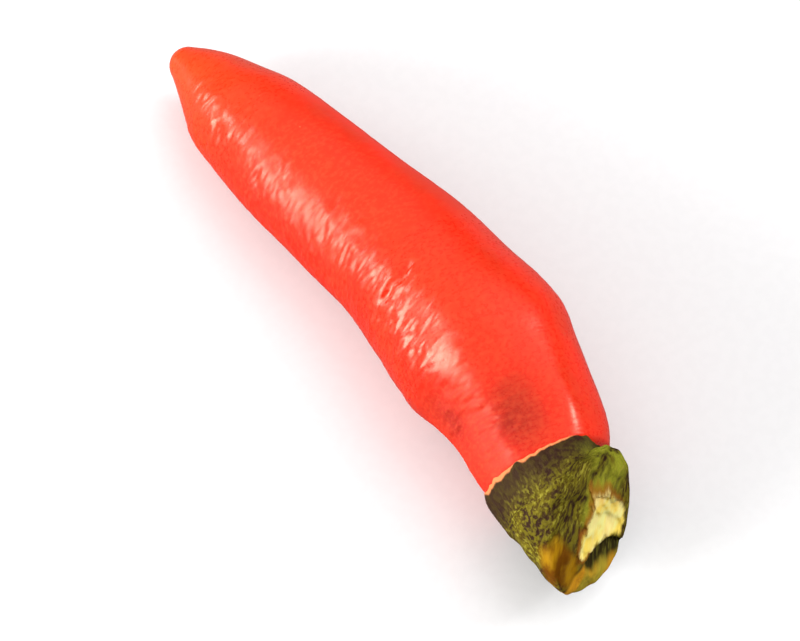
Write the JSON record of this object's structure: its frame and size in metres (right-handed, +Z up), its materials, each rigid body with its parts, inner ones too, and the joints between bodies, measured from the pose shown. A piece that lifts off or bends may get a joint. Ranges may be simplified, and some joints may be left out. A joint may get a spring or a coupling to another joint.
{
  "type": "chilli pepper",
  "caption": "Fresh red chilli pepper lying on its side: a bent, waxy pod with a blunt tip, and a brown-green calyx with the scar of its torn-off stem.",
  "frame": {"origin": "on the surface that the pepper lies on, under the centre of its bounding box", "axes": "+X along the pepper from the pod's tip to the calyx, +Y to the outside of its bend, +Z up"},
  "size_m": [0.0684, 0.0192, 0.0167],
  "materials": {
    "red_skin": "waxy, glossy orange-red vegetable skin, with fine wrinkles across it",
    "dry_calyx": "dull, fibrous plant tissue, mottled olive and brown, with a pale torn scar"
  },
  "bodies": {
    "root": {"pod": "red_skin", "calyx": "dry_calyx"}
  },
  "joints": []
}
